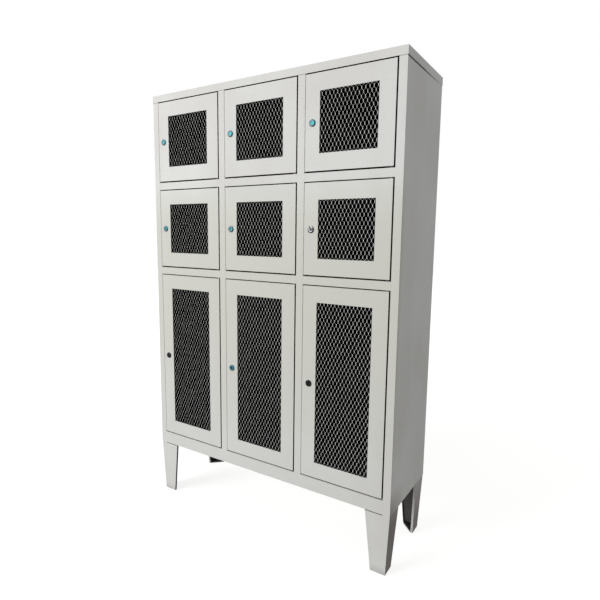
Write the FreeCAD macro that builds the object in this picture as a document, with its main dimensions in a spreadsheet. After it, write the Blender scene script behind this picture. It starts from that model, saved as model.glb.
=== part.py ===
import FreeCAD, Part
import Sketcher
import math
import os
import re

# Sheet-steel locker on four tapered legs: three columns of three flush doors, each with a
# window of expanded metal and a cam lock on its left, and each column hung on one hinge rod.
# Millimetres, +Z up, front towards -Y, origin on the floor under the middle of the locker.

# Driving dimensions, each named once
SIZES = [
    # Body
    ("width", "1150"),  # over the top cover
    ("depth", "370"),  # over the top cover
    ("height", "1800"),  # floor to top cover
    ("leg_height", "234"),  # floor to underside of the body
    ("sheet", "1"),  # body and door sheet
    ("cap_lip", "28"),  # fold of the top cover
    ("post", "30"),  # face of every upright
    ("rail", "30"),  # face of a rail between rows
    ("bottom_rail", "53"),  # face of the rail under the lowest row
    ("short_row", "339"),  # door opening of the two upper rows
    ("return_depth", "20"),  # fold behind the face of posts and rails
    ("strike", "12"),  # lip that the door closes on and the cam goes behind
    ("shelf_flange", "20"),  # fold down at the rear of a shelf
    ("base_flange", "50"),  # folds under the body that the legs stand against
    # Doors
    ("door_depth", "18.5"),
    ("door_lip", "12"),  # inward fold at the back of the door's edges
    ("lock_gap", "2"),
    ("hinge_gap", "5.5"),
    ("top_gap", "4"),
    ("bottom_gap", "5.5"),
    ("window_side", "58"),  # door edge to window, left and right
    ("window_end", "60"),  # door edge to window, top and bottom
    # Expanded metal
    ("diamond_width", "14.8"),
    ("diamond_height", "28.6"),
    ("strand_width", "2"),
    ("strand_thickness", "1"),
    ("mesh_overlap", "6"),  # sheet beyond the window's edge
    # Locks
    ("lock_setback", "29"),  # door edge to lock axis
    ("lock_face", "22"),  # diameter of the flange
    ("lock_proud", "3"),  # flange in front of the door
    ("lock_barrel", "15"),  # side of the square body behind the flange
    ("barrel_room", "0.2"),  # round the body, on each side
    ("lock_plug", "11"),  # diameter
    ("running_fit", "0.05"),  # round plugs and hinge rods, on the radius
    ("key_slot_width", "2"),
    ("key_slot_height", "8"),
    ("key_slot_depth", "6"),
    ("cam_gap", "1"),  # strike to cam
    ("cam_play", "0.3"),  # barrel to cam
    ("cam_length", "34"),
    ("cam_width", "14"),
    ("cam_thickness", "2"),
    ("cam_chamfer", "4"),
    # Hinges
    ("rod", "5"),  # diameter
    ("rod_setback", "10"),  # door edge to rod axis
    ("rod_reach", "8"),  # rod beyond the top cover's return
    ("spacer", "10"),  # side of the square spacers under the doors
    # Legs
    ("leg_sheet", "2"),
    ("leg_inset", "1"),  # body corner to leg corner, at the top
    ("foot_inset", "6"),  # the same at the floor, front and rear
    ("foot_side_inset", "13"),  # the same at the floor, left and right
    ("leg_front", "96"),  # width of the front plate at the top
    ("leg_side", "86"),  # width of the side plate at the top
    ("leg_foot", "58"),  # width of both plates at the floor
    ("leg_lip", "9"),  # fold along the free edges
    ("foot_height", "8"),  # plug in the open end of a leg
]

# Places worked out from those sizes: FACE is the plane of posts, rails and doors
FACE = "((lock_proud + sheet - depth) / 2)"
BACK = "(depth - 2 * sheet)"  # face to outside of the back panel
REAR = "(depth - 3 * sheet)"  # face to inside of the back panel
STRIKE = "(return_depth - sheet)"  # face to front of the strike lips
SIDE = "(width / 2 - sheet)"  # middle to outside of a side panel
FLOOR = "(leg_height + bottom_rail)"
TOP = "(height - cap_lip)"
OPENING = "((width - 4 * post) / 3)"  # width of a door opening
DOOR_RIGHT = f"({OPENING} - hinge_gap)"
ROD_ACROSS = f"({DOOR_RIGHT} - rod_setback)"
ROD_BACK = "(door_depth / 2)"
LOCK_ACROSS = "(lock_gap + lock_setback)"
CAM_START = "(return_depth + cam_gap)"

COLUMNS = ["left", "middle", "right"]
ROWS = {
    "top": {"base": f"({TOP} - short_row)", "rise": "short_row"},
    "mid": {"base": f"({TOP} - 2 * short_row - rail)", "rise": "short_row"},
    "low": {"base": FLOOR, "rise": f"({TOP} - 2 * short_row - 2 * rail - {FLOOR})"},
}

doc = FreeCAD.newDocument("locker")
sheet = doc.addObject("Spreadsheet::Sheet", "sizes")
for line, (alias, amount) in enumerate(SIZES, start=1):
    sheet.set(f"A{line}", alias)
    sheet.set(f"B{line}", amount)
    sheet.setAlias(f"B{line}", alias)
doc.recompute()
ALIASES = {alias for alias, amount in SIZES}
nodes = {}


def tied(words):
    """The expression with each size's name pointed at its cell."""
    return re.sub("[a-z_]+", lambda word: f"sizes.{word[0]}" if word[0] in ALIASES else word[0], words)


def measure(words):
    """The number that an expression stands for now."""
    return sheet.evalExpression(tied(words))


def column_left(column):
    """Left edge of a column's door openings."""
    return f"(post - width / 2 + {column} * ({OPENING} + post))"


def seat(piece, across, back, up):
    """Place a piece by sizes of the sheet."""
    for axis, words in zip("xyz", (across, back, up)):
        piece.setExpression(f"Placement.Base.{axis}", tied(words))


def new_body(label):
    """An empty body."""
    body = doc.addObject("PartDesign::Body", label)
    body.Label = label
    return body


def rectangle(left, low, right, high):
    """Corners of a rectangle."""
    return [(left, low), (right, low), (right, high), (left, high)]


def square(across, up, side):
    """Corners of a square round its middle."""
    return rectangle(
        f"{across} - ({side}) / 2", f"{up} - ({side}) / 2", f"{across} + ({side}) / 2", f"{up} + ({side}) / 2"
    )


def rod_hole(left, back="0"):
    """Square punched hole that the hinge rod turns in, from the left edge of its opening."""
    return square(f"{left} + {ROD_ACROSS}", f"{back} + {ROD_BACK}", "rod + 2 * running_fit")


def folded(path, hand, gauge="sheet"):
    """Outline of a sheet folded square along a path, its thickness to the left (1) or right (-1)."""
    points = [(measure(across), measure(along)) for across, along in path]
    normals = []
    for (x_from, y_from), (x_to, y_to) in zip(points, points[1:]):
        run = math.hypot(x_to - x_from, y_to - y_from)
        normals.append((round(hand * (y_from - y_to) / run), round(hand * (x_to - x_from) / run)))
    inside = []
    for place, (across, along) in enumerate(path):
        touching = normals[max(place - 1, 0):place + 1]
        x_step = sum(normal[0] for normal in touching)
        y_step = sum(normal[1] for normal in touching)
        inside.append((f"{across} + ({x_step}) * {gauge}", f"{along} + ({y_step}) * {gauge}"))
    return path + inside[::-1]


def outline(body, plane, lift, loops):
    """Sketch of closed loops on a plane of the body, every corner and circle tied to the sheet."""
    sketch = body.newObject("Sketcher::SketchObject", f"{body.Name}_outline")
    origin_plane = next(part for part in body.Origin.OriginFeatures if part.Role == f"{plane}_Plane")
    sketch.AttachmentSupport = [(origin_plane, "")]
    sketch.MapMode = "FlatFace"
    # The normal of the XZ plane points to -Y
    direction = "-" if plane == "XZ" else ""
    sketch.setExpression("AttachmentOffset.Base.z", tied(f"{direction}({lift})"))
    rules = []
    expressions = []

    def pin_down(kind, *references, words):
        rules.append(Sketcher.Constraint(kind, *references, measure(words)))
        expressions.append((len(rules) - 1, tied(words)))

    for loop in loops:
        first = sketch.GeometryCount
        if isinstance(loop, tuple):
            across, up, radius = loop
            centre = FreeCAD.Vector(measure(across), measure(up), 0)
            sketch.addGeometry(Part.Circle(centre, FreeCAD.Vector(0, 0, 1), measure(radius)))
            pin_down("DistanceX", -1, 1, first, 3, words=across)
            pin_down("DistanceY", -1, 1, first, 3, words=up)
            pin_down("Radius", first, words=radius)
            continue
        corners = [FreeCAD.Vector(measure(across), measure(up), 0) for across, up in loop]
        followers = corners[1:] + corners[:1]
        sketch.addGeometry([Part.LineSegment(start, end) for start, end in zip(corners, followers)])
        for place, (across, up) in enumerate(loop):
            follower = first + (place + 1) % len(loop)
            rules.append(Sketcher.Constraint("Coincident", first + place, 2, follower, 1))
            pin_down("DistanceX", -1, 1, first + place, 1, words=across)
            pin_down("DistanceY", -1, 1, first + place, 1, words=up)
    sketch.addConstraint(rules)
    for index, words in expressions:
        sketch.setExpression(f"Constraints[{index}]", words)
    return sketch


def pad(body, plane, lift, length, *loops):
    """Pad loops from a height over a plane, away from it in the positive direction."""
    profile = outline(body, plane, lift, loops)
    feature = body.newObject("PartDesign::Pad", f"{body.Name}_pad")
    feature.Profile = profile
    feature.setExpression("Length", tied(length))
    feature.Reversed = plane == "XZ"
    return feature


def pocket(body, plane, lift, length, *loops):
    """Cut loops out of the body, from a height over a plane in the positive direction."""
    doc.recompute()
    before = body.Shape.Volume
    profile = outline(body, plane, lift, loops)
    feature = body.newObject("PartDesign::Pocket", f"{body.Name}_pocket")
    feature.Profile = profile
    feature.setExpression("Length", tied(length))
    feature.Reversed = plane != "XZ"
    doc.recompute()
    if body.Shape.Volume >= before:
        raise RuntimeError(f"a pocket of {body.Label} cuts nothing")
    return feature


def group(label, pieces):
    """Pieces that share one node."""
    compound = doc.addObject("Part::Compound", label)
    compound.Label = label
    compound.Links = pieces
    return compound


# Top cover: a tray turned down over the body, with a return over each column of doors
cover = new_body("top_cover")
seat(cover, "0", f"{FACE} - sheet", TOP)
pad(cover, "XY", "0", "cap_lip", rectangle("-width / 2", "0", "width / 2", "depth"))
inside = rectangle("sheet - width / 2", "sheet", "width / 2 - sheet", "depth - sheet")
pocket(cover, "XY", "0", "cap_lip - sheet", inside)
for column in range(3):
    left = column_left(column)
    over_doors = rectangle(left, "0", f"{left} + {OPENING}", f"{STRIKE} + sheet")
    pad(cover, "XY", "0", "sheet", over_doors, rod_hole(left, "sheet"))
nodes["top_cover"] = cover

WALL_RISE = "(height - sheet - leg_height)"


def upright(label, across, up, rise, path, hand):
    """Folded post, its face in the plane of the doors."""
    post = new_body(label)
    seat(post, across, FACE, up)
    pad(post, "XY", "0", rise, folded(path, hand))
    nodes[label] = post


def flat_sheet(label, across, back, up, size):
    """Plain sheet of the body."""
    panel = doc.addObject("Part::Box", label)
    panel.Label = label
    for edge, words in zip(("Length", "Width", "Height"), size):
        panel.setExpression(edge, tied(words))
    seat(panel, across, back, up)
    nodes[label] = panel


# Corner uprights: the folded posts at both ends of the front. Only the left one has a strike lip,
# because every door hangs on its right-hand side.
strike_fold = [("post - sheet + strike", STRIKE), ("post - sheet", STRIKE), ("post - sheet", "0"), ("0", "0")]
upright("left_upright", f"-{SIDE}", "leg_height", WALL_RISE, strike_fold, -1)
plain_fold = [("sheet - post", "return_depth"), ("sheet - post", "0"), ("0", "0")]
upright("right_upright", SIDE, "leg_height", WALL_RISE, plain_fold, 1)

# Side panels behind the corner uprights, and the back panel over their rear edges
side_size = ("sheet", f"{REAR} - sheet", WALL_RISE)
flat_sheet("left_side_panel", f"-{SIDE}", f"{FACE} + sheet", "leg_height", side_size)
flat_sheet("right_side_panel", f"{SIDE} - sheet", f"{FACE} + sheet", "leg_height", side_size)
flat_sheet("back_panel", f"-{SIDE}", f"{FACE} + {REAR}", "leg_height", (f"2 * {SIDE}", "sheet", WALL_RISE))

# Middle posts: channels whose right-hand fold is carried on into a strike lip,
# each with a divider behind it
for place, side in enumerate(["left", "right"], start=1):
    middle = f"{column_left(place)} - post / 2"
    rise = f"height - sheet - {FLOOR}"
    channel = [
        ("-post / 2", "return_depth"),
        ("-post / 2", "0"),
        ("post / 2", "0"),
        ("post / 2", STRIKE),
        ("post / 2 + strike", STRIKE),
    ]
    upright(f"{side}_post", middle, FLOOR, rise, channel, 1)
    divider_size = ("sheet", f"{REAR} - sheet", rise)
    flat_sheet(f"{side}_divider", f"{middle} - sheet / 2", f"{FACE} + sheet", FLOOR, divider_size)


def post_notches(left, right, left_end, right_end):
    """Corners cut away round the folds of the posts on both sides of a rail."""
    around_strike = [
        (left_end, "-sheet"),
        (left, "-sheet"),
        (left, STRIKE),
        (f"{left} + strike", STRIKE),
        (f"{left} + strike", "return_depth"),
        (left_end, "return_depth"),
    ]
    return [around_strike, rectangle(right, "-sheet", right_end, "return_depth")]


# Bottom panel: floor, bottom rail and rear skirt folded from one sheet, with base flanges
bottom = new_body("bottom_panel")
seat(bottom, "0", FACE, "leg_height")
tub = folded(
    [
        ("base_flange", "0"),
        ("0", "0"),
        ("0", "bottom_rail"),
        (REAR, "bottom_rail"),
        (REAR, "0"),
        (f"{REAR} - base_flange", "0"),
    ],
    -1,
)
pad(bottom, "YZ", f"sheet - {SIDE}", f"2 * ({SIDE} - sheet)", tub)
corners = post_notches("post - width / 2", "width / 2 - post", f"-{SIDE}", SIDE)
pocket(bottom, "XY", "0", "bottom_rail", *corners)
rod_holes = [rod_hole(column_left(column)) for column in range(3)]
pocket(bottom, "XY", "bottom_rail - 2 * sheet", "2 * sheet", *rod_holes)
nodes["bottom_panel"] = bottom

# Shelves: rail, shelf and rear fold from one sheet, let in between the posts of one column
BESIDE_SIDE = "(post - 2 * sheet)"
BESIDE_DIVIDER = "((post - sheet) / 2)"
REACH = [
    (BESIDE_SIDE, BESIDE_DIVIDER),
    (BESIDE_DIVIDER, BESIDE_DIVIDER),
    (BESIDE_DIVIDER, BESIDE_SIDE),
]
for level, row in (("upper", "top"), ("lower", "mid")):
    for column, name in enumerate(COLUMNS):
        left_reach, right_reach = REACH[column]
        shelf = new_body(f"{level}_shelf_{name}")
        seat(shelf, column_left(column), FACE, f"{ROWS[row]['base']} - rail")
        path = [
            (STRIKE, "0"),
            ("0", "0"),
            ("0", "rail"),
            (REAR, "rail"),
            (REAR, "rail - shelf_flange"),
        ]
        pad(shelf, "YZ", f"-{left_reach}", f"{left_reach} + {OPENING} + {right_reach}", folded(path, -1))
        corners = post_notches("0", OPENING, f"-{left_reach} - sheet", f"{OPENING} + {right_reach} + sheet")
        pocket(shelf, "XY", "0", "rail", *corners)
        pocket(shelf, "XY", "0", "rail", rod_hole("0"))
        nodes[shelf.Label] = shelf


# Legs: angles of heavier sheet that taper to the floor, their free edges folded in,
# each with a plate at the top that lies against the base flanges and a plastic plug in its foot
def leg_wedge(name, x_turn, y_turn, edges):
    """Tapered block from the floor to the body: its near and far edges at the foot and at the top."""
    wedge = doc.addObject("Part::Wedge", name)
    wedge.Placement = FreeCAD.Placement(FreeCAD.Vector(), FreeCAD.Rotation(FreeCAD.Vector(1, 0, 0), 90))
    wedge.Ymin = 0
    wedge.setExpression("Ymax", tied("leg_height"))
    # The block's own Y axis stands upright and its Z axis runs to the front
    for axis, turn, spans in (("X", x_turn, edges["across"]), ("Z", -y_turn, edges["back"])):
        for level, (near, far) in zip((axis, f"{axis}2"), spans):
            ends = (near, far) if turn > 0 else (f"-({far})", f"-({near})")
            wedge.setExpression(f"{level}min", tied(ends[0]))
            wedge.setExpression(f"{level}max", tied(ends[1]))
    return wedge


def cut_corner(x_turn, y_turn, across, back):
    """Corners of a plate that fills an angle as far as its folds: its edges across and back."""
    (left, right), (front, rear) = across, back
    corners = [
        (left, front),
        (right, front),
        (right, f"{front} + leg_lip"),
        (f"{left} + leg_lip", rear),
        (left, rear),
    ]
    return [(f"({x_turn}) * ({x})", f"({y_turn}) * ({y})") for x, y in corners]


FOOT_ACROSS = ("foot_side_inset", "foot_side_inset + leg_foot")
FOOT_BACK = ("foot_inset", "foot_inset + leg_foot")
TOP_ACROSS = ("leg_inset", "leg_inset + leg_front")
TOP_BACK = ("leg_inset", "leg_inset + leg_side")
LEG_OUTSIDE = {"across": [FOOT_ACROSS, TOP_ACROSS], "back": [FOOT_BACK, TOP_BACK]}
LEG_HOLLOW = {
    direction: [(f"{near} + leg_sheet", f"{far} - leg_sheet") for near, far in spans]
    for direction, spans in LEG_OUTSIDE.items()
}
LEG_OPEN_SIDE = {
    direction: [(f"{near} + leg_lip", f"{far} + leg_lip") for near, far in spans]
    for direction, spans in LEG_OUTSIDE.items()
}
LEGS = {
    "leg_front_left": (1, 1, "0"),
    "leg_front_right": (-1, 1, "0"),
    "leg_rear_left": (1, -1, BACK),
    "leg_rear_right": (-1, -1, BACK),
}
leg_plugs = []
for label, (x_turn, y_turn, corner_back) in LEGS.items():
    tube = doc.addObject("Part::Cut", f"{label}_tube")
    tube.Base = leg_wedge(f"{label}_outside", x_turn, y_turn, LEG_OUTSIDE)
    tube.Tool = leg_wedge(f"{label}_hollow", x_turn, y_turn, LEG_HOLLOW)
    angle = doc.addObject("Part::Cut", f"{label}_angle")
    angle.Base = tube
    angle.Tool = leg_wedge(f"{label}_open_side", x_turn, y_turn, LEG_OPEN_SIDE)
    plate = new_body(f"{label}_plate")
    pad(plate, "XY", "leg_height - leg_sheet", "leg_sheet", cut_corner(x_turn, y_turn, TOP_ACROSS, TOP_BACK))
    leg = doc.addObject("Part::MultiFuse", label)
    leg.Label = label
    leg.Shapes = [angle, plate]
    leg.Refine = True
    seat(leg, f"-({x_turn}) * {SIDE}", f"{FACE} + {corner_back}", "0")
    nodes[label] = leg
    plug_block = new_body(f"{label}_plug_block")
    pad(plug_block, "XY", "0", "foot_height", cut_corner(x_turn, y_turn, FOOT_ACROSS, FOOT_BACK))
    plug = doc.addObject("Part::Common", f"{label}_plug")
    plug.Base = plug_block
    plug.Tool = leg_wedge(f"{label}_plug_room", x_turn, y_turn, LEG_HOLLOW)
    seat(plug, f"-({x_turn}) * {SIDE}", f"{FACE} + {corner_back}", "0")
    leg_plugs.append(plug)
nodes["leg_plugs"] = group("leg_plugs", leg_plugs)

# Hinge rods: one round bar a column, standing on the bottom rail's fold and passing through
# rails and doors, with a spacer under each door
rods = []
spacers = []
for column, name in enumerate(COLUMNS):
    rod_across = f"{column_left(column)} + {ROD_ACROSS}"
    rod = doc.addObject("Part::Cylinder", f"hinge_rod_{name}")
    rod.setExpression("Radius", tied("rod / 2"))
    rod.setExpression("Height", tied(f"{TOP} + rod_reach - leg_height"))
    seat(rod, rod_across, f"{FACE} + {ROD_BACK}", "leg_height + sheet")
    rods.append(rod)
    for row, span in ROWS.items():
        spacer = new_body(f"hinge_spacer_{row}_{name}")
        seat(spacer, rod_across, f"{FACE} + {ROD_BACK}", span["base"])
        hole = square("0", "0", "rod + 2 * running_fit")
        pad(spacer, "XY", "0", "bottom_gap", square("0", "0", "spacer"), hole)
        spacers.append(spacer)
nodes["hinge_rods"] = group("hinge_rods", rods)
nodes["hinge_spacers"] = group("hinge_spacers", spacers)


def door_panel(label, rise):
    """Folded door with its window, lock hole and rod holes, in the frame of its opening."""
    panel = new_body(f"{label}_panel")
    top_edge = f"({rise} - top_gap)"
    edge = rectangle("lock_gap", "bottom_gap", DOOR_RIGHT, top_edge)
    within_fold = rectangle("lock_gap + sheet", "bottom_gap + sheet", f"{DOOR_RIGHT} - sheet", f"{top_edge} - sheet")
    within_lip = rectangle(
        "lock_gap + door_lip", "bottom_gap + door_lip", f"{DOOR_RIGHT} - door_lip", f"{top_edge} - door_lip"
    )
    window = rectangle(
        "lock_gap + window_side", "bottom_gap + window_end", f"{DOOR_RIGHT} - window_side", f"{top_edge} - window_end"
    )
    lock_hole = square(LOCK_ACROSS, lock_up(rise), "lock_barrel + 2 * barrel_room")
    pad(panel, "XZ", "0", "sheet", edge, window, lock_hole)
    pad(panel, "XZ", "0", "door_depth", edge, within_fold)
    pad(panel, "XZ", "door_depth - sheet", "sheet", edge, within_lip)
    pocket(panel, "XY", "0", rise, rod_hole("0"))
    return panel


def lock_up(rise):
    """Lock axis over the base of the opening: the middle of the door."""
    return f"(({rise} + bottom_gap - top_gap) / 2)"


def lock_housing(label, rise):
    """Round flange and square body of the lock, bored for the plug."""
    housing = new_body(f"{label}_lock_housing")
    seat(housing, LOCK_ACROSS, "0", lock_up(rise))
    bore = ("0", "0", "lock_plug / 2 + running_fit")
    pad(housing, "XZ", "-lock_proud", "lock_proud", ("0", "0", "lock_face / 2"), bore)
    pad(housing, "XZ", "0", f"{CAM_START} - cam_play", square("0", "0", "lock_barrel"), bore)
    return housing


def mesh_layer(label, rise, lean):
    """Parallel ridged strands leaning right (1) or left (-1), cut to the sheet's rectangle."""
    left = "(lock_gap + window_side - mesh_overlap)"
    right = f"({DOOR_RIGHT} - window_side + mesh_overlap)"
    low = "(bottom_gap + window_end - mesh_overlap)"
    high = f"({rise} - top_gap - window_end + mesh_overlap)"
    drift = f"(({high} - {low}) * diamond_width / diamond_height)"
    breadth = "(strand_width * sqrt(diamond_width ^ 2 + diamond_height ^ 2) / diamond_height)"
    start = f"({left} - {drift} + diamond_width / 2)" if lean > 0 else f"({left} + diamond_width / 2)"
    # Both layers lie flat against each other in the middle of the sheet, their ridges outwards
    middle = "(sheet + strand_thickness)"
    ridge = f"{middle} - ({lean}) * strand_thickness"
    section = [(start, middle), (f"{start} + {breadth}", middle), (f"{start} + {breadth} / 2", ridge)]
    strands = new_body(f"{label}_strands")
    first = pad(strands, "XY", low, f"{high} - {low}", section)
    first.UseCustomVector = True
    first.AlongSketchNormal = True
    first.setExpression("Direction.x", tied(f"({lean}) * diamond_width"))
    first.setExpression("Direction.y", "0")
    first.setExpression("Direction.z", tied("diamond_height"))
    row = strands.newObject("PartDesign::LinearPattern", f"{label}_row")
    row.Originals = [first]
    row.Direction = (first.Profile[0], ["H_Axis"])
    row.Mode = "Spacing"
    row.setExpression("Offset", tied("diamond_width"))
    row.setExpression("Occurrences", tied(f"ceil(({right} - {left} + {drift}) / diamond_width - 0.5)"))
    strands.Tip = row
    sheet_block = doc.addObject("Part::Box", f"{label}_sheet")
    sheet_block.setExpression("Length", tied(f"{right} - {left}"))
    sheet_block.setExpression("Width", tied("2 * strand_thickness"))
    sheet_block.setExpression("Height", tied(f"{high} - {low}"))
    seat(sheet_block, left, "sheet", low)
    layer = doc.addObject("Part::Common", f"{label}_layer")
    layer.Base = strands
    layer.Tool = sheet_block
    return layer


def lock_plug(label):
    """Plug with its key slot, and the cam on its rear end, pointing down while unlocked."""
    plug = new_body(label)
    length = f"lock_proud + {CAM_START}"
    pad(plug, "XZ", "-lock_proud", length, ("0", "0", "lock_plug / 2"))
    slot = rectangle("-key_slot_width / 2", "-key_slot_height / 2", "key_slot_width / 2", "key_slot_height / 2")
    pocket(plug, "XZ", "-lock_proud", "key_slot_depth", slot)
    cam = [
        ("cam_width / 2", "cam_width / 2"),
        ("-cam_width / 2", "cam_width / 2"),
        ("-cam_width / 2", "cam_chamfer - cam_length"),
        ("cam_chamfer - cam_width / 2", "-cam_length"),
        ("cam_width / 2 - cam_chamfer", "-cam_length"),
        ("cam_width / 2", "cam_chamfer - cam_length"),
    ]
    pad(plug, "XZ", CAM_START, "cam_thickness", cam)
    return plug


# Doors with their lock housings, their expanded metal, and the plugs that turn in them
for row, span in ROWS.items():
    rise = span["rise"]
    for column, name in enumerate(COLUMNS):
        left = column_left(column)
        place = f"{row}_{name}"
        door = group(f"door_{place}", [door_panel(f"door_{place}", rise), lock_housing(f"door_{place}", rise)])
        seat(door, left, FACE, span["base"])
        rising = mesh_layer(f"mesh_{place}_rising", rise, 1)
        falling = mesh_layer(f"mesh_{place}_falling", rise, -1)
        mesh = group(f"mesh_{place}", [rising, falling])
        seat(mesh, left, FACE, span["base"])
        lock = lock_plug(f"lock_{place}")
        seat(lock, f"{left} + {LOCK_ACROSS}", FACE, f"{span['base']} + {lock_up(rise)}")
        for node in (door, mesh, lock):
            nodes[node.Label] = node

doc.recompute()

for item in doc.Objects:
    if {"Invalid", "Error"} & set(item.State):
        raise RuntimeError(f"{item.Label} failed: {item.State}")
for label, node in nodes.items():
    if node.Shape.isNull() or not node.Shape.isValid():
        raise RuntimeError(f"{label} has no valid shape")

os.makedirs("parts", exist_ok=True)
for label, node in nodes.items():
    node.Shape.exportStep(f"parts/{label}.step")
print(len(nodes), "nodes")
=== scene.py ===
import bmesh
import bpy
import math
from mathutils import Matrix, Vector


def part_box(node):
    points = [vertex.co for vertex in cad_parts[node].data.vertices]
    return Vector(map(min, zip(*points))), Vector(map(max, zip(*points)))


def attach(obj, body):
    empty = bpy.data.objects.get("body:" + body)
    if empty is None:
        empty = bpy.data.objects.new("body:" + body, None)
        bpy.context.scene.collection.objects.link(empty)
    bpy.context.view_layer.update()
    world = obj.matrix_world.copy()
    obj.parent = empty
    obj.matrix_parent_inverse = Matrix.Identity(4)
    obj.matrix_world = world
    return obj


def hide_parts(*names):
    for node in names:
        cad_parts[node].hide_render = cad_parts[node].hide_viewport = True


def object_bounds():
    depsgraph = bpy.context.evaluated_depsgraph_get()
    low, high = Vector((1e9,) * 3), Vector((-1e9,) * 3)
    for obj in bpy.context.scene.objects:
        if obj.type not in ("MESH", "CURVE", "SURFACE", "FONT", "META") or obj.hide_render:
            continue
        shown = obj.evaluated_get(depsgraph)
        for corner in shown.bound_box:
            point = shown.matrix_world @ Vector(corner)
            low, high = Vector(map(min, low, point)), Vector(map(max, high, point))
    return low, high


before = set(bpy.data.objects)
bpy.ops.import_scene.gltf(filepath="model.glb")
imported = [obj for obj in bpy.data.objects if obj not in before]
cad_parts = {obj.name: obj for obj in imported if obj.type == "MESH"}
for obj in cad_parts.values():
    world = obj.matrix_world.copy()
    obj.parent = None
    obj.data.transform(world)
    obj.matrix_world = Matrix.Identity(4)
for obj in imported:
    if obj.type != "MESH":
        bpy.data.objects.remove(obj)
cad_low, cad_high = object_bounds()
bpy.ops.object.select_all(action="DESELECT")


# Body: top cover, uprights, posts, panels, dividers, shelves and bottom.
# Cold-rolled steel sheet 1 mm thick, folded on a press brake and spot-welded, with a light grey
# powder coat; the inside and the faces behind the gaps are painted near-black with little sheen as painted
# shade.
MM = 0.001
COLUMNS = ["left", "middle", "right"]
FOLD_RADIUS = 0.4 * MM
FOLD_ANGLE = math.radians(40)
COAT_PALE = "#D6D6D4"
COAT_DULL = "#D0CFCC"
# The rubbed colour is also a painted highlight along folds and edges
COAT_RUBBED_AND_HIGHLIT = "#E2E2DF"
COAT_GRIMY = "#A39E96"
# The next colour is painted shade in the middle of the front
COAT_MID_SHADE = "#C9C9C1"
# The next colour is painted shade low at the front corners of the sides
LOW_CORNER_SHADE = "#6E635A"
# The next colour and the last sheen level are painted shade inside the body and behind the gaps
INSIDE_SHADE = "#161514"
COAT_SHEEN = 0.35
INSIDE_SHADE_SHEEN = 0.02
COAT_ROUGHNESS = (0.5, 0.68)
CLOUD_SIZE = 300 * MM
BAND_SPACING = 60 * MM
BAND_FLATTENING = 0.06
BAND_SHARE = 0.4
RUB_WIDTH = 2 * MM
RUB_LENGTH = 20 * MM
RUB_AND_HIGHLIGHT_SHARE = 0.7
SPECK_SIZE = 12 * MM
SPECK_SHARE = 0.35
WAVE_HEIGHT = 3 * MM
WAVE_STRENGTH = 0.5
PEEL_SIZE = 5 * MM
PEEL_HEIGHT = 0.2 * MM
PEEL_STRENGTH = 0.12


def linear(code):
    """Linear colour of an sRGB hex value."""
    parts = [int(code[place:place + 2], 16) / 255 for place in (1, 3, 5)]
    return [part / 12.92 if part <= 0.04045 else ((part + 0.055) / 1.055) ** 2.4 for part in parts] + [1]


def add_node(material, kind, inputs, **settings):
    """Add a node with its settings, and its inputs from values or from other nodes' outputs."""
    node = material.node_tree.nodes.new(kind)
    for name, setting in settings.items():
        setattr(node, name, setting)
    for name, value in inputs.items():
        if isinstance(value, bpy.types.NodeSocket):
            material.node_tree.links.new(value, node.inputs[name])
        else:
            node.inputs[name].default_value = value
    return node


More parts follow.
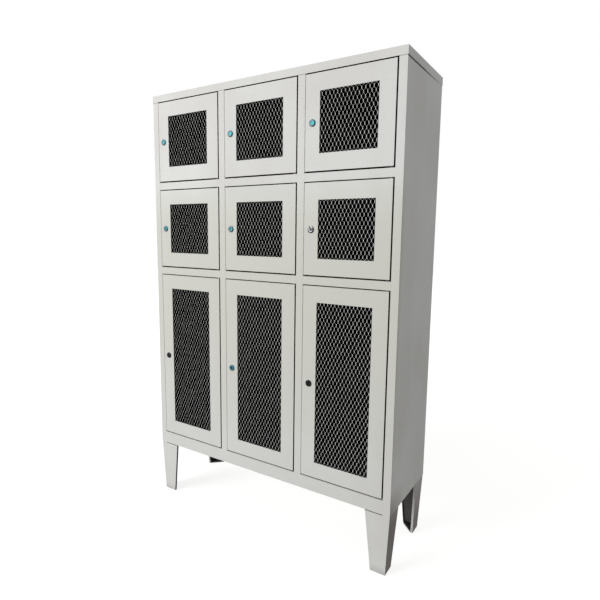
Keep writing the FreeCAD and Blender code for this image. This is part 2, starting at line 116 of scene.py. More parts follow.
def coated_steel(name):
    """Satin powder coat over sheet steel: the material, its shader and the colour of the coat."""
    material = bpy.data.materials.new(name)
    material.use_nodes = True
    shader = material.node_tree.nodes["Principled BSDF"]
    shader.inputs["Specular IOR Level"].default_value = COAT_SHEEN
    place = add_node(material, "ShaderNodeTexCoord", {}).outputs["Object"]

    # The coat is uneven in wide clouds and in upright bands
    clouds = add_node(
        material, "ShaderNodeTexNoise", {"Vector": place, "Scale": 1 / CLOUD_SIZE, "Detail": 2.0}
    )
    drawn_out = add_node(
        material, "ShaderNodeMapping", {"Vector": place, "Scale": (1, 1, BAND_FLATTENING)}
    )
    bands = add_node(
        material,
        "ShaderNodeTexNoise",
        {"Vector": drawn_out.outputs[0], "Scale": 1 / BAND_SPACING, "Detail": 1.0},
    )
    uneven = add_node(
        material,
        "ShaderNodeMath",
        {0: bands.outputs["Fac"], 1: BAND_SHARE, 2: clouds.outputs["Fac"]},
        operation="MULTIPLY_ADD",
    )
    dulled = add_node(
        material, "ShaderNodeMapRange", {"Value": uneven.outputs[0], "From Min": 0.5, "From Max": 0.9}
    )
    coat = add_node(
        material,
        "ShaderNodeMix",
        {"Factor": dulled.outputs[0], "A": linear(COAT_PALE), "B": linear(COAT_DULL)},
        data_type="RGBA",
    )

    # Folds and edges are rubbed paler, in broken stretches: partly wear and partly a painted highlight
    rounded = add_node(material, "ShaderNodeBevel", {"Radius": RUB_WIDTH}, samples=4)
    geometry = add_node(material, "ShaderNodeNewGeometry", {})
    along = add_node(
        material,
        "ShaderNodeVectorMath",
        {0: rounded.outputs[0], 1: geometry.outputs["Normal"]},
        operation="DOT_PRODUCT",
    )
    edge = add_node(
        material,
        "ShaderNodeMapRange",
        {"Value": along.outputs["Value"], "From Min": 0.98, "From Max": 0.8, "To Max": RUB_AND_HIGHLIGHT_SHARE},
    )
    broken = add_node(
        material, "ShaderNodeTexNoise", {"Vector": place, "Scale": 1 / RUB_LENGTH, "Detail": 3.0}
    )
    rub_and_highlight = add_node(
        material, "ShaderNodeMath", {0: edge.outputs[0], 1: broken.outputs["Fac"]}, operation="MULTIPLY"
    )
    rubbed_and_highlit = add_node(
        material,
        "ShaderNodeMix",
        {"Factor": rub_and_highlight.outputs[0], "A": coat.outputs["Result"], "B": linear(COAT_RUBBED_AND_HIGHLIT)},
        data_type="RGBA",
    )

    # Scuffs and dust specks a few millimetres across, drawn larger than they are so that they show
    specks = add_node(
        material, "ShaderNodeTexNoise", {"Vector": place, "Scale": 1 / SPECK_SIZE, "Detail": 4.0}
    )
    speckled = add_node(
        material,
        "ShaderNodeMapRange",
        {"Value": specks.outputs["Fac"], "From Min": 0.66, "From Max": 0.78, "To Max": SPECK_SHARE},
    )
    scuffed = add_node(
        material,
        "ShaderNodeMix",
        {"Factor": speckled.outputs[0], "A": rubbed_and_highlit.outputs["Result"], "B": linear(COAT_GRIMY)},
        data_type="RGBA",
    )

    # Satin gloss that varies with the same clouds
    gloss = add_node(
        material,
        "ShaderNodeMapRange",
        {"Value": clouds.outputs["Fac"], "To Min": COAT_ROUGHNESS[0], "To Max": COAT_ROUGHNESS[1]},
    )
    material.node_tree.links.new(gloss.outputs[0], shader.inputs["Roughness"])

    # The sheet is slightly wavy between its folds, and the coat has orange peel of 2 to 3 mm,
    # drawn about twice as coarse so that it shows
    wavy = add_node(
        material,
        "ShaderNodeBump",
        {"Height": clouds.outputs["Fac"], "Strength": WAVE_STRENGTH, "Distance": WAVE_HEIGHT},
    )
    peel = add_node(material, "ShaderNodeTexNoise", {"Vector": place, "Scale": 1 / PEEL_SIZE, "Detail": 1.0})
    orange_peel = add_node(
        material,
        "ShaderNodeBump",
        {
            "Height": peel.outputs["Fac"],
            "Normal": wavy.outputs[0],
            "Strength": PEEL_STRENGTH,
            "Distance": PEEL_HEIGHT,
        },
    )
    material.node_tree.links.new(orange_peel.outputs[0], shader.inputs["Normal"])
    return material, shader, scuffed.outputs["Result"]


def within(material, place, bounds, most=1.0):
    """Mask of a region, with its highest value: each bound is an axis, where it starts and where it is full.

    Bounds are in millimetres, and X counts from the middle to both sides.
    """
    axes = add_node(material, "ShaderNodeSeparateXYZ", {"Vector": place})
    mask = None
    for axis, start, full in bounds:
        value = axes.outputs[axis]
        if axis == "X":
            value = add_node(material, "ShaderNodeMath", {0: value}, operation="ABSOLUTE").outputs[0]
        side = add_node(
            material,
            "ShaderNodeMapRange",
            {"Value": value, "From Min": start * MM, "From Max": full * MM, "To Max": 1.0 if mask else most},
        ).outputs[0]
        if mask:
            side = add_node(material, "ShaderNodeMath", {0: mask, 1: side}, operation="MULTIPLY").outputs[0]
        mask = side
    return mask


def soften_folds(node):
    """Round a CAD node's folds and edges, which are square in the solid."""
    weld = node.modifiers.new("weld", "WELD")
    weld.merge_threshold = 0.001 * MM
    fold = node.modifiers.new("fold", "BEVEL")
    fold.width = FOLD_RADIUS
    fold.segments = 2
    fold.limit_method = "ANGLE"
    fold.angle_limit = FOLD_ANGLE
    node.modifiers.new("flat", "WEIGHTED_NORMAL")


def dress(node, *materials):
    """Give a CAD node its materials."""
    node.data.materials.clear()
    for material in materials:
        node.data.materials.append(material)


# Outer planes of the body in millimetres, from the sheets that lie in them
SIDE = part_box("right_side_panel")[1].x / MM
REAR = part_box("back_panel")[1].y / MM
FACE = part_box("left_post")[0].y / MM
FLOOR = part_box("bottom_panel")[1].z / MM
COVER_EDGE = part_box("top_cover")[0].z / MM
TOP = cad_high[2] / MM
ON_SIDE = ("X", SIDE - 0.6, SIDE - 0.4)
UNDER_COVER = ("Z", COVER_EDGE + 0.2, COVER_EDGE - 0.2)
# How strong the painted shadow under the front of the cover's lip is
FRONT_LIP_SHADOW_SHARE = 0.45
# How strong the painted shade low at the side corners is
LOW_CORNER_SHADE_SHARE = 0.8

body_coat, body_shader, body_colour = coated_steel("powder_coat_with_painted_shade")
body_place = add_node(body_coat, "ShaderNodeTexCoord", {}).outputs["Object"]
shell = within(
    body_coat,
    body_place,
    [
        ("X", SIDE - 0.2, SIDE - 0.8),
        ("Y", REAR - 0.2, REAR - 0.8),
        ("Z", FLOOR - 0.8, FLOOR - 0.2),
        ("Z", TOP - 0.2, TOP - 0.8),
    ],
)
# Faces that look up are left pale farther in, since light reaches deeper there, so the painted shade starts
# deeper on them
behind_front = within(body_coat, body_place, [("Y", FACE + 0.1, FACE + 1.4)])
farther_in = within(body_coat, body_place, [("Y", FACE + 11, FACE + 21)])
body_faces = add_node(body_coat, "ShaderNodeNewGeometry", {})
body_turn = add_node(body_coat, "ShaderNodeSeparateXYZ", {"Vector": body_faces.outputs["Normal"]})
looks_up = add_node(
    body_coat, "ShaderNodeMapRange", {"Value": body_turn.outputs["Z"], "From Min": 0.5, "From Max": 0.9}
)
shade_depth = add_node(
    body_coat, "ShaderNodeMix", {"Factor": looks_up.outputs[0], "A": behind_front, "B": farther_in}
)
# Painted shade: the inside of the body and the faces behind the gaps turn near-black
inside = add_node(
    body_coat, "ShaderNodeMath", {0: shell, 1: shade_depth.outputs["Result"]}, operation="MULTIPLY"
)
# Under the cover's lip a painted shadow line runs along the sides, fainter along the front
side_lip_shadow = within(
    body_coat,
    body_place,
    [ON_SIDE, ("Y", 150, -20), ("Z", COVER_EDGE - 5.8, COVER_EDGE - 4.8), UNDER_COVER],
)
front_lip_shadow = within(
    body_coat,
    body_place,
    [("Y", FACE + 0.8, FACE + 0.4), ("Z", COVER_EDGE - 2.4, COVER_EDGE - 1.2), UNDER_COVER],
    most=FRONT_LIP_SHADOW_SHARE,
)
lip_shadows = add_node(body_coat, "ShaderNodeMath", {0: side_lip_shadow, 1: front_lip_shadow}, operation="MAXIMUM")
all_painted_shade = add_node(
    body_coat, "ShaderNodeMath", {0: inside.outputs[0], 1: lip_shadows.outputs[0]}, operation="MAXIMUM"
)
# The front is painted slightly darker and yellower between knee and shoulder height: painted shade
mid_front_shade = within(
    body_coat, body_place, [("Y", FACE + 33, FACE + 8), ("Z", 1440, 1250), ("Z", 200, 900)]
)
body_mid_shaded = add_node(
    body_coat,
    "ShaderNodeMix",
    {"Factor": mid_front_shade, "A": body_colour, "B": linear(COAT_MID_SHADE)},
    data_type="RGBA",
)
# Low down at the front corners of the sides the coat is painted darker and browner: painted shade
low_corner_shade = within(
    body_coat, body_place, [ON_SIDE, ("Y", -40, FACE + 8), ("Z", 330, 240)], most=LOW_CORNER_SHADE_SHARE
)
body_low_shaded = add_node(
    body_coat,
    "ShaderNodeMix",
    {"Factor": low_corner_shade, "A": body_mid_shaded.outputs["Result"], "B": linear(LOW_CORNER_SHADE)},
    data_type="RGBA",
)
body_finish = add_node(
    body_coat,
    "ShaderNodeMix",
    {"Factor": all_painted_shade.outputs[0], "A": body_low_shaded.outputs["Result"], "B": linear(INSIDE_SHADE)},
    data_type="RGBA",
)
# With the painted shade, the sheen drops too
body_sheen = add_node(
    body_coat,
    "ShaderNodeMapRange",
    {"Value": inside.outputs[0], "To Min": COAT_SHEEN, "To Max": INSIDE_SHADE_SHEEN},
)
body_coat.node_tree.links.new(body_finish.outputs["Result"], body_shader.inputs["Base Color"])
body_coat.node_tree.links.new(body_sheen.outputs[0], body_shader.inputs["Specular IOR Level"])
BODY = ["top_cover", "back_panel", "bottom_panel"]
for side in ("left", "right"):
    BODY += [f"{side}_{piece}" for piece in ("upright", "side_panel", "post", "divider")]
for level in ("upper", "lower"):
    BODY += [f"{level}_shelf_{column}" for column in COLUMNS]
for name in BODY:
    dress(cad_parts[name], body_coat)
    soften_folds(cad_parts[name])

# The folded edges beside the locks, which look to the right, keep the plain coat, without the painted shade
# of the inside
SIDEWAYS = 0.9
edge_coat, edge_shader, edge_colour = coated_steel("powder_coat")
edge_coat.node_tree.links.new(edge_colour, edge_shader.inputs["Base Color"])
for name in ("left_upright", "left_post", "right_post"):
    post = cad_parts[name]
    dress(post, body_coat, edge_coat)
    for face in post.data.polygons:
        face.material_index = 1 if face.normal.x > SIDEWAYS else 0


# Legs: tapered angles with a top plate, welded under the four corners.
# Steel sheet 2 mm thick in the same grey coat. The plates at the sides are painted dark brown as painted
# shade, the hollow near-black as painted shade, and a painted shadow line runs where they meet the bottom
# rail;
# near the floor they are spotted brown with dirt.
# Dark brown for the painted shade on the side plates and for the dirt near the floor
LEG_DIRT_AND_SHADE = "#4C413B"
# Near-black for the painted shade in the hollow
HOLLOW_SHADE = "#1F1B18"
SIDE_SHADE_SHARE = 0.95
HOLLOW_SHADE_SHARE = 0.92
SPOT_SIZE = 50 * MM
LEG_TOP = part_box("leg_front_left")[1].z / MM
leg_coat, leg_shader, leg_colour = coated_steel("powder_coat_on_legs")
leg_place = add_node(leg_coat, "ShaderNodeTexCoord", {}).outputs["Object"]
leg_spots = add_node(
    leg_coat, "ShaderNodeTexNoise", {"Vector": leg_place, "Scale": 1 / SPOT_SIZE, "Detail": 5.0}
)
leg_faces = add_node(leg_coat, "ShaderNodeNewGeometry", {})
leg_turn = add_node(leg_coat, "ShaderNodeSeparateXYZ", {"Vector": leg_faces.outputs["Normal"]})
leg_sideways = add_node(leg_coat, "ShaderNodeMath", {0: leg_turn.outputs["X"]}, operation="ABSOLUTE")
side_shade = add_node(
    leg_coat,
    "ShaderNodeMapRange",
    {"Value": leg_sideways.outputs[0], "From Min": 0.5, "From Max": SIDEWAYS, "To Max": SIDE_SHADE_SHARE},
)
# The painted shade on the side plates reaches higher on the front legs than on the rear ones
at_rear = within(leg_coat, leg_place, [("Y", 60, 90)])
front_reach = within(leg_coat, leg_place, [("Z", 400, 190)])
rear_reach = within(leg_coat, leg_place, [("Z", 330, 60)])
side_shade_reach = add_node(leg_coat, "ShaderNodeMix", {"Factor": at_rear, "A": front_reach, "B": rear_reach})
leg_side_shade = add_node(
    leg_coat,
    "ShaderNodeMath",
    {0: side_shade.outputs[0], 1: side_shade_reach.outputs["Result"]},
    operation="MULTIPLY",
)
splashed = within(leg_coat, leg_place, [("Z", 30, -20)])
leg_splash = add_node(
    leg_coat, "ShaderNodeMath", {0: splashed, 1: leg_spots.outputs["Fac"]}, operation="MULTIPLY"
)
leg_shade_and_dirt = add_node(
    leg_coat, "ShaderNodeMath", {0: leg_side_shade.outputs[0], 1: leg_splash.outputs[0]}, operation="MAXIMUM"
)
leg_shaded_and_dirty = add_node(
    leg_coat,
    "ShaderNodeMix",
    {"Factor": leg_shade_and_dirt.outputs[0], "A": leg_colour, "B": linear(LEG_DIRT_AND_SHADE)},
    data_type="RGBA",
)
# The inner faces look towards the middle of the locker from at least these distances
HOLLOW_START = -130 * MM
HOLLOW_FULL = -160 * MM
inward = add_node(
    leg_coat, "ShaderNodeVectorMath", {0: leg_faces.outputs["Normal"], 1: leg_place}, operation="MULTIPLY"
)
inward_parts = add_node(leg_coat, "ShaderNodeSeparateXYZ", {"Vector": inward.outputs[0]})
most_inward = add_node(
    leg_coat,
    "ShaderNodeMath",
    {0: inward_parts.outputs["X"], 1: inward_parts.outputs["Y"]},
    operation="MINIMUM",
)
# The hollow of each leg is painted near-black: painted shade
hollow_shade = add_node(
    leg_coat,
    "ShaderNodeMapRange",
    {
        "Value": most_inward.outputs[0],
        "From Min": HOLLOW_START,
        "From Max": HOLLOW_FULL,
        "To Max": HOLLOW_SHADE_SHARE,
    },
)
# A painted shadow line where the legs meet the bottom rail
seam_shadow = within(leg_coat, leg_place, [("X", SIDE - 27, SIDE - 29), ("Z", LEG_TOP - 3.8, LEG_TOP - 3)])
leg_painted_shade = add_node(leg_coat, "ShaderNodeMath", {0: hollow_shade.outputs[0], 1: seam_shadow}, operation="MAXIMUM")
leg_finish = add_node(
    leg_coat,
    "ShaderNodeMix",
    {"Factor": leg_painted_shade.outputs[0], "A": leg_shaded_and_dirty.outputs["Result"], "B": linear(HOLLOW_SHADE)},
    data_type="RGBA",
)
leg_coat.node_tree.links.new(leg_finish.outputs["Result"], leg_shader.inputs["Base Color"])
for end in ("front", "rear"):
    for side in ("left", "right"):
        dress(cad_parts[f"leg_{end}_{side}"], leg_coat)
        soften_folds(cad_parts[f"leg_{end}_{side}"])


# Leg plugs: flat plugs pressed into the open ends of the legs.
# Moulded black polyethylene, dull and scraped paler in spots of about 4 mm where it meets the floor.
PLUG_COLOURS = ("#121212", "#2A2927")
PLUG_ROUGHNESS = (0.45, 0.7)
SCRAPE_SIZE = 4 * MM


def mottled(name, grain, detail, colours, roughness, spread=(0, 1)):
    """Material whose two colours and two roughnesses follow one random grain.

    Gives the material, its shader, its place and its colour. A narrow spread sets the colours apart.
    """
    material = bpy.data.materials.new(name)
    material.use_nodes = True
    shader = material.node_tree.nodes["Principled BSDF"]
    place = add_node(material, "ShaderNodeTexCoord", {}).outputs["Object"]
    noise = add_node(material, "ShaderNodeTexNoise", {"Vector": place, "Scale": 1 / grain, "Detail": detail})
    share = add_node(
        material,
        "ShaderNodeMapRange",
        {"Value": noise.outputs["Fac"], "From Min": spread[0], "From Max": spread[1]},
    )
    tint = add_node(
        material,
        "ShaderNodeMix",
        {"Factor": share.outputs[0], "A": linear(colours[0]), "B": linear(colours[1])},
        data_type="RGBA",
    )
    gloss = add_node(
        material,
        "ShaderNodeMapRange",
        {"Value": noise.outputs["Fac"], "To Min": roughness[0], "To Max": roughness[1]},
    )
    material.node_tree.links.new(tint.outputs["Result"], shader.inputs["Base Color"])
    material.node_tree.links.new(gloss.outputs[0], shader.inputs["Roughness"])
    return material, shader, place, tint.outputs["Result"]


polyethylene = mottled("black_polyethylene", SCRAPE_SIZE, 4.0, PLUG_COLOURS, PLUG_ROUGHNESS)[0]
dress(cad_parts["leg_plugs"], polyethylene)
soften_folds(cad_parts["leg_plugs"])


# Hinge rods: one 5 mm rod down each column, through the doors and rails.
# Drawn steel, zinc plated and slightly cloudy, pushed in from above before the cover went on.
ZINC_COLOURS = ("#8F9192", "#B4B5B2")
ZINC_ROUGHNESS = (0.25, 0.5)
ZINC_CLOUD_SIZE = 15 * MM
zinc, zinc_shader = mottled("zinc_plated_steel", ZINC_CLOUD_SIZE, 3.0, ZINC_COLOURS, ZINC_ROUGHNESS)[:2]
zinc_shader.inputs["Metallic"].default_value = 1
dress(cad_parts["hinge_rods"], zinc)


# Hinge spacers: small blocks on the rods that carry the doors.
# Black nylon cut from square bar, dull and slightly grainy.
NYLON_COLOURS = ("#121212", "#242423")
NYLON_ROUGHNESS = (0.35, 0.55)
NYLON_GRAIN = 3 * MM
nylon = mottled("black_nylon", NYLON_GRAIN, 2.0, NYLON_COLOURS, NYLON_ROUGHNESS)[0]
dress(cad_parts["hinge_spacers"], nylon)


# Doors: shallow pans with a window, and the housing of the cam lock in each.
# Folded and coated as the body is; the housing is a zinc die casting with chrome plate, painted dark in
# blotches of about 7 mm, partly tarnish from handling and partly a painted reflection of dark surroundings,
# and painted darker still on the faces that look down as painted shade.
ROWS = ["top", "mid", "low"]
PLACES = [f"{row}_{column}" for row in ROWS for column in COLUMNS]
# The darker of these colours stands in for reflections of dark surroundings, beside tarnish
CHROME_TARNISH_AND_REFLECTION_COLOURS = ("#1B1B1C", "#8E8E90")
# Painted shade on the faces that look down
CHROME_SHADE_BELOW = "#0C0C0C"
# Painted reflection of dark surroundings on the low row
CHROME_LOW_REFLECTION = "#0A0A0B"
CHROME_ROUGHNESS = (0.12, 0.4)
BLOTCH_SIZE = 7 * MM
BLOTCH_SPREAD = (0.4, 0.6)
# How far the lower locks are painted darker
LOW_DARKENING_SHARE = 0.85
HOUSING_REACH = 11.2 * MM
CAM_HALF = 7 * MM


def looks_down(material):
    """Mask of the faces that look down, for painted shade where light doesn't reach."""
    faces = add_node(material, "ShaderNodeNewGeometry", {})
    turn = add_node(material, "ShaderNodeSeparateXYZ", {"Vector": faces.outputs["Normal"]})
    return add_node(
        material, "ShaderNodeMapRange", {"Value": turn.outputs["Z"], "From Min": 0.2, "From Max": -0.3}
    ).outputs[0]


chrome, chrome_shader, chrome_place, chrome_tint = mottled(
    "chrome_plated_zinc", BLOTCH_SIZE, 4.0, CHROME_TARNISH_AND_REFLECTION_COLOURS, CHROME_ROUGHNESS, BLOTCH_SPREAD
)
chrome_shader.inputs["Metallic"].default_value = 1
chrome_shaded_below = add_node(
    chrome,
    "ShaderNodeMix",
    {"Factor": looks_down(chrome), "A": chrome_tint, "B": linear(CHROME_SHADE_BELOW)},
    data_type="RGBA",
)
# The chrome of the low row is painted nearly black: a painted reflection of dark surroundings
chrome_low_reflection = within(chrome, chrome_place, [("Z", 1100, 700)], most=LOW_DARKENING_SHARE)
chrome_reflecting = add_node(
    chrome,
    "ShaderNodeMix",
    {"Factor": chrome_low_reflection, "A": chrome_shaded_below.outputs["Result"], "B": linear(CHROME_LOW_REFLECTION)},
    data_type="RGBA",
)
chrome.node_tree.links.new(chrome_reflecting.outputs["Result"], chrome_shader.inputs["Base Color"])


def lock_axis(place):
    """Where a lock's axis meets the front of its plug."""
    low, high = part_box(f"lock_{place}")
    return Vector(((low.x + high.x) / 2, low.y, high.z - CAM_HALF))


for place in PLACES:
    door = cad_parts[f"door_{place}"]
    dress(door, body_coat, chrome, edge_coat)
    axis = lock_axis(place)
    for face in door.data.polygons:
        off_axis = math.hypot(face.center.x - axis.x, face.center.z - axis.z)
        if off_axis < HOUSING_REACH:
            face.material_index = 1
        elif face.normal.x < -SIDEWAYS and face.center.x < axis.x - HOUSING_REACH:
            face.material_index = 2
        else:
            face.material_index = 0
    soften_folds(door)


# Locks: the plug with its key slot, and the cam behind the door, one turning piece.
# Chrome-plated zinc like the housing; in six of them the face of the plug has a turquoise film,
# creased every few millimetres, and the key slot is painted near-black, partly graphite and partly painted
# shade.
CHROME_PLACES = ["mid_right", "low_left", "low_right"]
FILM_COLOURS = ("#14737F", "#36A9B2")
# Painted shade for the film lower down
FILM_LOW_SHADE = "#083B5C"
FILM_ROUGHNESS = (0.4, 0.6)
CREASE_SPACING = 3 * MM
# Graphite in the key slot, painted near-black also as shade
GRAPHITE_AND_SHADE_COLOURS = ("#070707", "#161616")
GRAPHITE_ROUGHNESS = (0.5, 0.75)
GRAPHITE_GRAIN = 1 * MM
PLUG_FACE_DEPTH = 0.1 * MM
SLOT_REACH = 5 * MM
SLOT_DEPTH = 10 * MM
film, film_shader, film_place, film_tint = mottled(
    "turquoise_film_over_chrome", CREASE_SPACING, 3.0, FILM_COLOURS, FILM_ROUGHNESS
)
film_shader.inputs["Metallic"].default_value = 1
# The film is painted darker and bluer lower down: painted shade
film_low_shade = within(film, film_place, [("Z", 1650, 700)], most=LOW_DARKENING_SHARE)
film_shaded = add_node(
    film,
    "ShaderNodeMix",
    {"Factor": film_low_shade, "A": film_tint, "B": linear(FILM_LOW_SHADE)},
    data_type="RGBA",
)
film.node_tree.links.new(film_shaded.outputs["Result"], film_shader.inputs["Base Color"])

slot_graphite_and_shade = mottled("graphite_and_shade_in_key_slot", GRAPHITE_GRAIN, 2.0, GRAPHITE_AND_SHADE_COLOURS, GRAPHITE_ROUGHNESS)[0]
for place in PLACES:
    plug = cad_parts[f"lock_{place}"]
    dress(plug, chrome, film, slot_graphite_and_shade)
    axis = lock_axis(place)
    for face in plug.data.polygons:
        behind = face.center.y - axis.y
        off_axis = math.hypot(face.center.x - axis.x, face.center.z - axis.z)
        if behind < PLUG_FACE_DEPTH:
            face.material_index = 0 if place in CHROME_PLACES else 1
        elif off_axis < SLOT_REACH and behind < SLOT_DEPTH:
            face.material_index = 2


# Expanded metal: the sheet behind each window, slit and stretched so that every strand
# stands aslant, meets its neighbours in long knuckles and is drawn thin between them. Steel 0.4 mm
# thick, in the same coat, welded to the back of the door.
DIAMOND_WIDTH = 14.8 * MM
DIAMOND_HEIGHT = 28.6 * MM
STRAND_WIDTH = 1.2 * MM
STRAND_THICKNESS = 0.4 * MM
STRAND_SLANT = math.radians(28)
KNUCKLE = 7.3 * MM
NECK = 0.45
CLOSE = 0.1 * MM
TOUCHING = 0.01 * MM
slant_x = STRAND_WIDTH / 2 * math.cos(STRAND_SLANT)
slant_y = STRAND_WIDTH / 2 * math.sin(STRAND_SLANT)
swing_x = DIAMOND_WIDTH / 2 - 2 * slant_x
swing_y = 2 * slant_y
climb = DIAMOND_HEIGHT / 2 - KNUCKLE

mesh_coat, mesh_shader, mesh_colour = coated_steel("powder_coat_on_expanded_metal")
mesh_coat.node_tree.links.new(mesh_colour, mesh_shader.inputs["Base Color"])


def select_faces(test):
    """In edit mode, select the faces whose middle passes a test, and nothing else."""
    bpy.ops.mesh.select_mode(type="FACE")
    bpy.ops.mesh.select_all(action="DESELECT")
    shape = bmesh.from_edit_mesh(bpy.context.object.data)
    for face in shape.faces:
        face.select_set(test(face.calc_center_median()))
    bmesh.update_edit_mesh(bpy.context.object.data)


def repeat(offset, count):
    """Repeat the active object's mesh along an offset, and join the copies where they meet."""
    sheet = bpy.context.object
    array = sheet.modifiers.new("repeat", "ARRAY")
    array.use_relative_offset = False
    array.use_constant_offset = True
    array.constant_offset_displace = offset
    array.count = count
    array.use_merge_vertices = True
    array.merge_threshold = TOUCHING
    bpy.ops.object.modifier_apply(modifier=array.name)


def expanded_metal(name, low, high):
    """A sheet cut to its corners: one strand's period is extruded, repeated and trimmed."""
    bpy.ops.object.select_all(action="DESELECT")
    bpy.ops.mesh.primitive_plane_add(size=1)
    sheet = bpy.context.object
    sheet.name = name
    bpy.ops.object.mode_set(mode="EDIT")
    bpy.ops.transform.resize(value=(STRAND_WIDTH, STRAND_THICKNESS, 1))
    bpy.ops.transform.rotate(value=STRAND_SLANT, orient_axis="Z", center_override=(0, 0, 0))
    start = Vector((low.x - DIAMOND_WIDTH, low.y, low.z - DIAMOND_HEIGHT))
    bpy.ops.transform.translate(value=start)
    upright = Vector((0, 0, KNUCKLE))
    half_out = Vector((swing_x, swing_y, climb)) / 2
    half_back = Vector((-swing_x, -swing_y, climb)) / 2
    centre = start.copy()
    for step, share in (
        (upright, 1),
        (half_out, NECK),
        (half_out, 1 / NECK),
        (upright, 1),
        (half_back, NECK),
        (half_back, 1 / NECK),
    ):
        centre += step
        bpy.ops.mesh.extrude_region_move(TRANSFORM_OT_translate={"value": step})
        bpy.ops.transform.resize(value=(share, share, 1), center_override=centre)
    ends = (start.z, start.z + DIAMOND_HEIGHT)
    select_faces(lambda middle: any(abs(middle.z - end) < CLOSE for end in ends))
    bpy.ops.mesh.delete(type="FACE")
    bpy.ops.object.mode_set(mode="OBJECT")
    repeat((0, 0, DIAMOND_HEIGHT), math.ceil((high.z - low.z) / DIAMOND_HEIGHT) + 2)
    bpy.ops.object.mode_set(mode="EDIT")
    bpy.ops.mesh.select_all(action="SELECT")
    bpy.ops.mesh.duplicate_move(
        TRANSFORM_OT_translate={"value": (DIAMOND_WIDTH / 2, 0, -DIAMOND_HEIGHT / 2)}
    )
    bpy.ops.object.mode_set(mode="OBJECT")
    repeat((DIAMOND_WIDTH, 0, 0), math.ceil((high.x - low.x) / DIAMOND_WIDTH) + 2)
    bpy.ops.object.mode_set(mode="EDIT")
    for corner, normal in (
        (low, (-1, 0, 0)),
        (high, (1, 0, 0)),
        (low, (0, 0, -1)),
        (high, (0, 0, 1)),
    ):
        bpy.ops.mesh.select_all(action="SELECT")
        bpy.ops.mesh.bisect(plane_co=corner, plane_no=normal, use_fill=True, clear_outer=True)
    bpy.ops.mesh.select_all(action="SELECT")
    bpy.ops.mesh.normals_make_consistent(inside=False)
    front = min(vertex.co.y for vertex in bmesh.from_edit_mesh(sheet.data).verts)
    bpy.ops.transform.translate(value=(0, low.y - front, 0))
    bpy.ops.object.mode_set(mode="OBJECT")
    sheet.data.transform(sheet.matrix_world)
    sheet.matrix_world = Matrix()
    sheet.data.materials.append(mesh_coat)
    return sheet


for row in ROWS:
    first_low, first_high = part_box(f"mesh_{row}_left")
    first = expanded_metal(f"expanded_metal_{row}_left", first_low, first_high)
    for column in COLUMNS:
        piece = first
        if column != "left":
            piece = first.copy()
            piece.data = first.data.copy()
            piece.name = f"expanded_metal_{row}_{column}"
            bpy.context.collection.objects.link(piece)
            piece.data.transform(Matrix.Translation(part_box(f"mesh_{row}_{column}")[0] - first_low))
        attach(piece, f"door_{row}_{column}")
        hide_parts(f"mesh_{row}_{column}")


# Lock rings: snap-on covers round the plugs, over the flanges of the housings.
# Six are moulded in turquoise ABS, satin, worn in patches of about 6 mm and painted darker where
# they look down as painted shade, and three are chrome-plated.
RING_RADIUS = 12.6 * MM
RING_BORE = 5.8 * MM
RING_FRONT = 1.2 * MM
RING_ROUND = 2.8 * MM
RING_SIDES = 48
SMOOTH_ANGLE = math.radians(35)
FLANGE_RADIUS = 11.05 * MM
FLANGE_DEPTH = 3 * MM
RING_COLOURS = ("#045F6D", "#0D8796")
# Painted shade on the faces that look down
RING_SHADE_BELOW = "#052B3A"
RING_ROUGHNESS = (0.3, 0.5)
RING_WEAR_SIZE = 6 * MM
RING_COAT = 0.15

turquoise, turquoise_shader, turquoise_place, turquoise_tint = mottled(
    "turquoise_abs", RING_WEAR_SIZE, 4.0, RING_COLOURS, RING_ROUGHNESS
)
turquoise_shader.inputs["Coat Weight"].default_value = RING_COAT
turquoise_shaded_below = add_node(
    turquoise,
    "ShaderNodeMix",
    {"Factor": looks_down(turquoise), "A": turquoise_tint, "B": linear(RING_SHADE_BELOW)},
    data_type="RGBA",
)
turquoise.node_tree.links.new(turquoise_shaded_below.outputs["Result"], turquoise_shader.inputs["Base Color"])


def select_rim(radius, depth):
    """In edit mode, select the ring's edges at a radius and a depth behind its front."""
    bpy.ops.mesh.select_mode(type="EDGE")
    bpy.ops.mesh.select_all(action="DESELECT")
    shape = bmesh.from_edit_mesh(bpy.context.object.data)
    for edge in shape.edges:
        ends = [(math.hypot(end.co.x, end.co.z), end.co.y) for end in edge.verts]
        edge.select_set(all(abs(r - radius) < 2 * CLOSE and abs(y - depth) < CLOSE for r, y in ends))
    bmesh.update_edit_mesh(bpy.context.object.data)


bpy.ops.object.select_all(action="DESELECT")
ring_depth = RING_FRONT + FLANGE_DEPTH
bpy.ops.mesh.primitive_cylinder_add(vertices=RING_SIDES, radius=RING_RADIUS, depth=ring_depth)
ring = bpy.context.object
bpy.ops.object.mode_set(mode="EDIT")
bpy.ops.mesh.select_all(action="SELECT")
bpy.ops.transform.rotate(value=math.pi / 2, orient_axis="X", center_override=(0, 0, 0))
bpy.ops.transform.translate(value=(0, ring_depth / 2, 0))
select_faces(lambda middle: middle.y < TOUCHING)
bpy.ops.mesh.inset(thickness=RING_RADIUS - RING_BORE)
bpy.ops.mesh.delete(type="FACE")
select_faces(lambda middle: middle.y > ring_depth - TOUCHING)
bpy.ops.mesh.inset(thickness=RING_RADIUS - FLANGE_RADIUS)
bpy.ops.mesh.extrude_region_move(TRANSFORM_OT_translate={"value": (0, -FLANGE_DEPTH, 0)})
bpy.ops.mesh.inset(thickness=FLANGE_RADIUS - RING_BORE)
bpy.ops.mesh.delete(type="FACE")
bpy.ops.mesh.select_mode(type="EDGE")
bpy.ops.mesh.select_all(action="DESELECT")
bpy.ops.mesh.select_non_manifold()
bpy.ops.mesh.bridge_edge_loops()
select_rim(RING_RADIUS, 0)
bpy.ops.mesh.bevel(offset=RING_ROUND, segments=4, affect="EDGES")
select_rim(RING_BORE, 0)
bpy.ops.mesh.bevel(offset=RING_FRONT / 2, segments=3, affect="EDGES")
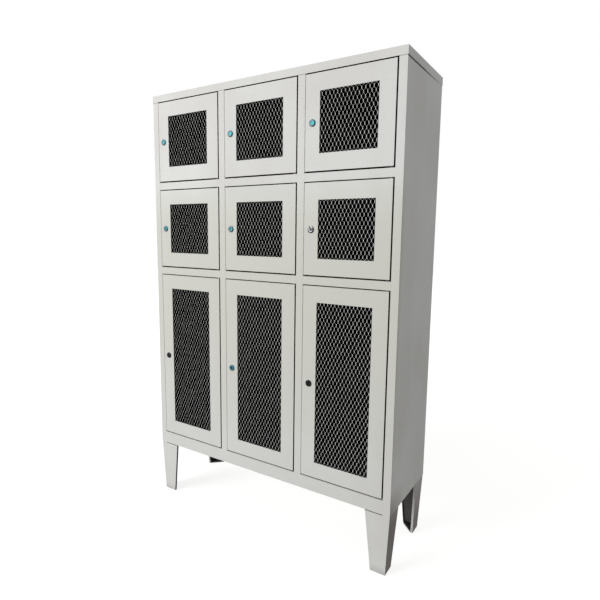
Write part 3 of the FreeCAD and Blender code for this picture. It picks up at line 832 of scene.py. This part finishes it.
bpy.ops.mesh.select_all(action="SELECT")
bpy.ops.mesh.normals_make_consistent(inside=False)
bpy.ops.object.mode_set(mode="OBJECT")
bpy.ops.object.shade_smooth_by_angle(angle=SMOOTH_ANGLE)
for place in PLACES:
    piece = ring
    if place != PLACES[-1]:
        piece = ring.copy()
        piece.data = ring.data.copy()
        bpy.context.collection.objects.link(piece)
    piece.name = f"lock_ring_{place}"
    piece.data.transform(Matrix.Translation(lock_axis(place) - Vector((0, RING_FRONT, 0))))
    piece.data.materials.append(chrome if place in CHROME_PLACES else turquoise)
    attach(piece, f"door_{place}")


# Stage: a pale studio floor that shows white to the camera and keeps a soft shadow,
# a white surround, one large soft lamp high at the front left, and the camera.
FLOOR_HALF = 12
FLOOR_BOUNCE = 0.42
FLOOR_WARMTH = 0.96
FLOOR_GLOW_NEAR = 0.8
FLOOR_GLOW_FAR = 0.93
NEAR = 1.0
FAR = 5.0
WHITE = (1, 1, 1, 1)
FILL = 0.45
KEY_POWER = 465
KEY_SIZE = 4
KEY_PLACE = Vector((-4.2, -6.4, 3.1))
KEY_AIM = Vector((0, 0, 0.7))


def shown_directly(material):
    """Mask of what the camera sees, straight or in metal and glass."""
    path = add_node(material, "ShaderNodeLightPath", {})
    seen_or_mirrored = add_node(
        material,
        "ShaderNodeMath",
        {0: path.outputs["Is Camera Ray"], 1: path.outputs["Is Glossy Ray"]},
        operation="MAXIMUM",
    )
    return add_node(
        material,
        "ShaderNodeMath",
        {0: seen_or_mirrored.outputs[0], 1: path.outputs["Is Transmission Ray"]},
        operation="MAXIMUM",
    ).outputs[0]


floor_paint = bpy.data.materials.new("studio_floor")
floor_paint.use_nodes = True
floor_shader = floor_paint.node_tree.nodes["Principled BSDF"]
floor_shader.inputs["Base Color"].default_value = (FLOOR_BOUNCE, FLOOR_BOUNCE, FLOOR_BOUNCE * FLOOR_WARMTH, 1)
floor_shader.inputs["Roughness"].default_value = 1
floor_shader.inputs["Specular IOR Level"].default_value = 0
floor_place = add_node(floor_paint, "ShaderNodeTexCoord", {}).outputs["Object"]
away = add_node(floor_paint, "ShaderNodeVectorMath", {0: floor_place}, operation="LENGTH")
brighter = add_node(
    floor_paint,
    "ShaderNodeMapRange",
    {
        "Value": away.outputs["Value"],
        "From Min": NEAR,
        "From Max": FAR,
        "To Min": FLOOR_GLOW_NEAR,
        "To Max": FLOOR_GLOW_FAR,
    },
)
glow = add_node(
    floor_paint,
    "ShaderNodeMath",
    {0: shown_directly(floor_paint), 1: brighter.outputs[0]},
    operation="MULTIPLY",
)
floor_shader.inputs["Emission Color"].default_value = WHITE
floor_paint.node_tree.links.new(glow.outputs[0], floor_shader.inputs["Emission Strength"])
bpy.ops.object.select_all(action="DESELECT")
bpy.ops.mesh.primitive_plane_add(size=2 * FLOOR_HALF)
floor = bpy.context.object
floor.name = "floor"
floor.data.materials.append(floor_paint)

world = bpy.data.worlds.new("surround")
bpy.context.scene.world = world
world.use_nodes = True
background = world.node_tree.nodes["Background"]
background.inputs["Color"].default_value = WHITE
strength = add_node(
    world, "ShaderNodeMapRange", {"Value": shown_directly(world), "To Min": FILL, "To Max": 1.0}
)
world.node_tree.links.new(strength.outputs[0], background.inputs["Strength"])

key_data = bpy.data.lights.new("key", "AREA")
key_data.energy = KEY_POWER
key_data.size = KEY_SIZE
key = bpy.data.objects.new("key", key_data)
key.location = KEY_PLACE
key.rotation_euler = (KEY_AIM - KEY_PLACE).to_track_quat("-Z", "Y").to_euler()
bpy.context.collection.objects.link(key)

# The camera's place and turn were solved from points of the photograph
CAMERA_PLACE = Vector((1.1298, -1.6825, 1.2147))
CAMERA_YAW = math.radians(32.068)
CAMERA_PITCH = math.radians(-7.747)
CAMERA_ROLL = math.radians(0.695)
SENSOR_WIDTH = 36
FOCAL_LENGTH = 28.745
camera_data = bpy.data.cameras.new("camera")
camera_data.sensor_width = SENSOR_WIDTH
camera_data.lens = FOCAL_LENGTH
camera = bpy.data.objects.new("camera", camera_data)
camera.matrix_world = (
    Matrix.Translation(CAMERA_PLACE)
    @ Matrix.Rotation(CAMERA_YAW, 4, "Z")
    @ Matrix.Rotation(math.pi / 2 + CAMERA_PITCH, 4, "X")
    @ Matrix.Rotation(CAMERA_ROLL, 4, "Z")
)
bpy.context.collection.objects.link(camera)
bpy.context.scene.camera = camera
bpy.context.scene.view_settings.view_transform = "Standard"
